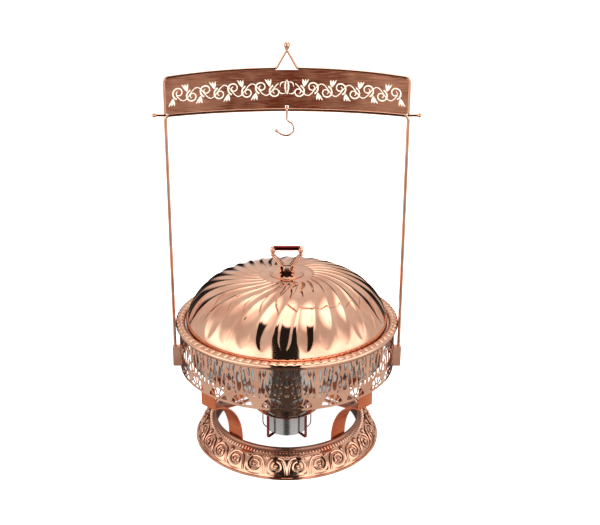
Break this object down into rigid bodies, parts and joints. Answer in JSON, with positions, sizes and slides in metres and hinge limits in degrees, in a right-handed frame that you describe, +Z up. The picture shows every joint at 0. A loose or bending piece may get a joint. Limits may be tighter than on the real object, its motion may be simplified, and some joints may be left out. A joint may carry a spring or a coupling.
{
  "type": "chafing dish food warmer",
  "caption": "Round chafing dish on an embossed ring base with a pierced gallery, spiral-fluted dome lid, spirit burner and a hanger arch with a signboard and lid hook.",
  "frame": {"origin": "middle of the base ring's underside, where the dish stands on the table", "axes": "+Z up, -Y towards the diner who sees the signboard's front, +X to the right of that view"},
  "size_m": [0.453, 0.4, 0.726],
  "materials": {
    "rose_gold_plate": "mirror-polished rose gold plating on stainless steel",
    "copper_plate": "polished copper-toned plating on strip steel",
    "brushed_copper": "brushed copper-toned sheet with an engraved flourish",
    "stainless_steel": "satin stainless steel"
  },
  "bodies": {
    "stand": {"base_ring": "rose_gold_plate", "leg_front_left": "copper_plate", "leg_front_right": "copper_plate", "leg_back_left": "copper_plate", "leg_back_right": "copper_plate", "leg_rivets": "rose_gold_plate", "gallery_band": "rose_gold_plate", "rim_ring": "rose_gold_plate", "socket_left": "copper_plate", "socket_right": "copper_plate", "socket_screws": "stainless_steel", "arm_front_left": "copper_plate", "arm_front_right": "copper_plate", "arm_back_left": "copper_plate", "arm_back_right": "copper_plate", "burner_ring": "rose_gold_plate", "post_front_left": "copper_plate", "post_front_right": "copper_plate", "post_back_left": "copper_plate", "post_back_right": "copper_plate", "cradle_wire": "stainless_steel"},
    "water_pan": {"water_pan": "stainless_steel"},
    "food_pan": {"food_pan": "stainless_steel"},
    "lid": {"lid_dome": "rose_gold_plate", "handle_plate": "rose_gold_plate", "handle_bracket": "rose_gold_plate", "handle_grip": "rose_gold_plate", "handle_knob_left": "rose_gold_plate", "handle_knob_right": "rose_gold_plate", "handle_screw": "stainless_steel", "handle_nut": "stainless_steel"},
    "hanger": {"upright_left": "rose_gold_plate", "upright_right": "rose_gold_plate", "lower_rail": "rose_gold_plate", "sign_frame": "rose_gold_plate", "sign_panel": "brushed_copper", "peak_ball": "rose_gold_plate", "stub_left": "rose_gold_plate", "stub_right": "rose_gold_plate"},
    "hook": {"hook": "rose_gold_plate"},
    "fuel_can": {"can_cup": "stainless_steel", "can_cover": "stainless_steel", "damper_pin": "stainless_steel"},
    "damper": {"damper_disc": "stainless_steel"}
  },
  "joints": [
    {"name": "water_pan_lift", "type": "slide", "parent": "stand", "child": "water_pan", "axis": [0, 0, 1], "range_m": [0, 0.035]},
    {"name": "food_pan_lift", "type": "slide", "parent": "water_pan", "child": "food_pan", "axis": [0, 0, 1], "range_m": [0, 0.06]},
    {"name": "lid_lift", "type": "slide", "parent": "food_pan", "child": "lid", "axis": [0, 0, 1], "range_m": [0, 0.09]},
    {"name": "hanger_lift", "type": "slide", "parent": "stand", "child": "hanger", "axis": [0, 0, 1], "range_m": [0, 0.045]},
    {"name": "hook_swing", "type": "hinge", "parent": "hanger", "child": "hook", "pos_m": [0, 0, 0.6135], "axis": [1, 0, 0], "range_deg": [-75, 75]},
    {"name": "can_lift", "type": "slide", "parent": "stand", "child": "fuel_can", "axis": [0, 0, 1], "range_m": [0, 0.06]},
    {"name": "damper_swing", "type": "hinge", "parent": "fuel_can", "child": "damper", "pos_m": [0.024, 0, 0.081], "axis": [0, 0, 1], "range_deg": [0, 90]}
  ]
}
